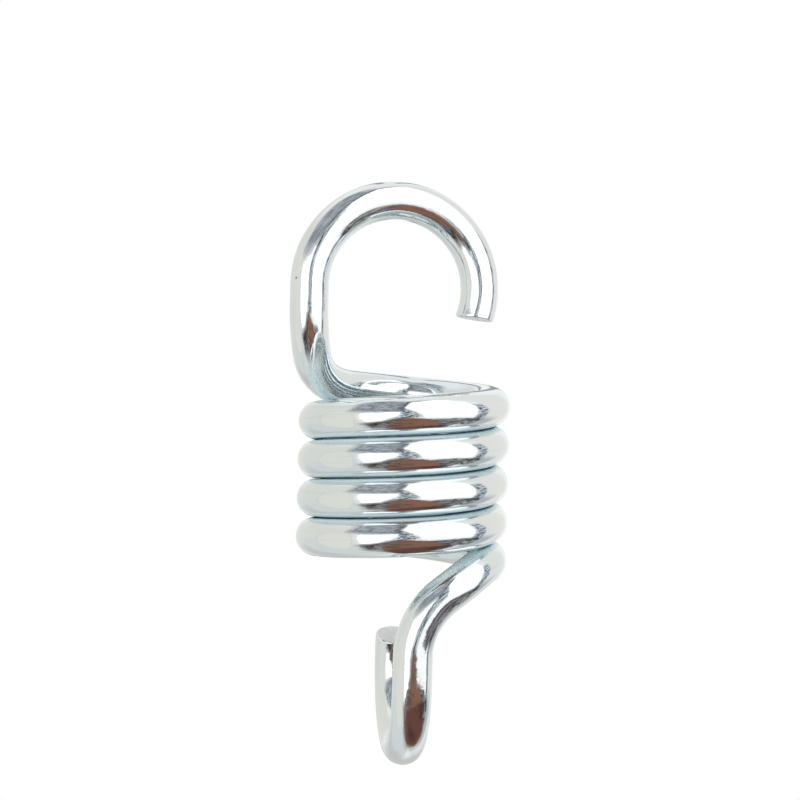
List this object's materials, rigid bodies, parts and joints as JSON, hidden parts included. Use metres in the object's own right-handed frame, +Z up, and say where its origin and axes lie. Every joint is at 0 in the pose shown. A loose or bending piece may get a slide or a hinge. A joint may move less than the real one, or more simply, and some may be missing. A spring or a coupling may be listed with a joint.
{
  "type": "hammock chair spring",
  "caption": "Close-wound extension spring of thick round steel bar, with an open hook at each end and the two hooks turned about a quarter turn from each other.",
  "frame": {"origin": "inside of the top hook's crown, where the spring hangs", "axes": "+Z up along the pull, top hook in the XZ plane with its mouth to +X, low hook opening to the back (+Y)"},
  "size_m": [0.053, 0.05, 0.1377],
  "materials": {
    "zinc_plate": "bright pale blue zinc plating on smooth round steel bar, mirror-like and slightly rippled"
  },
  "bodies": {
    "root": {"spring": "zinc_plate"}
  },
  "joints": []
}
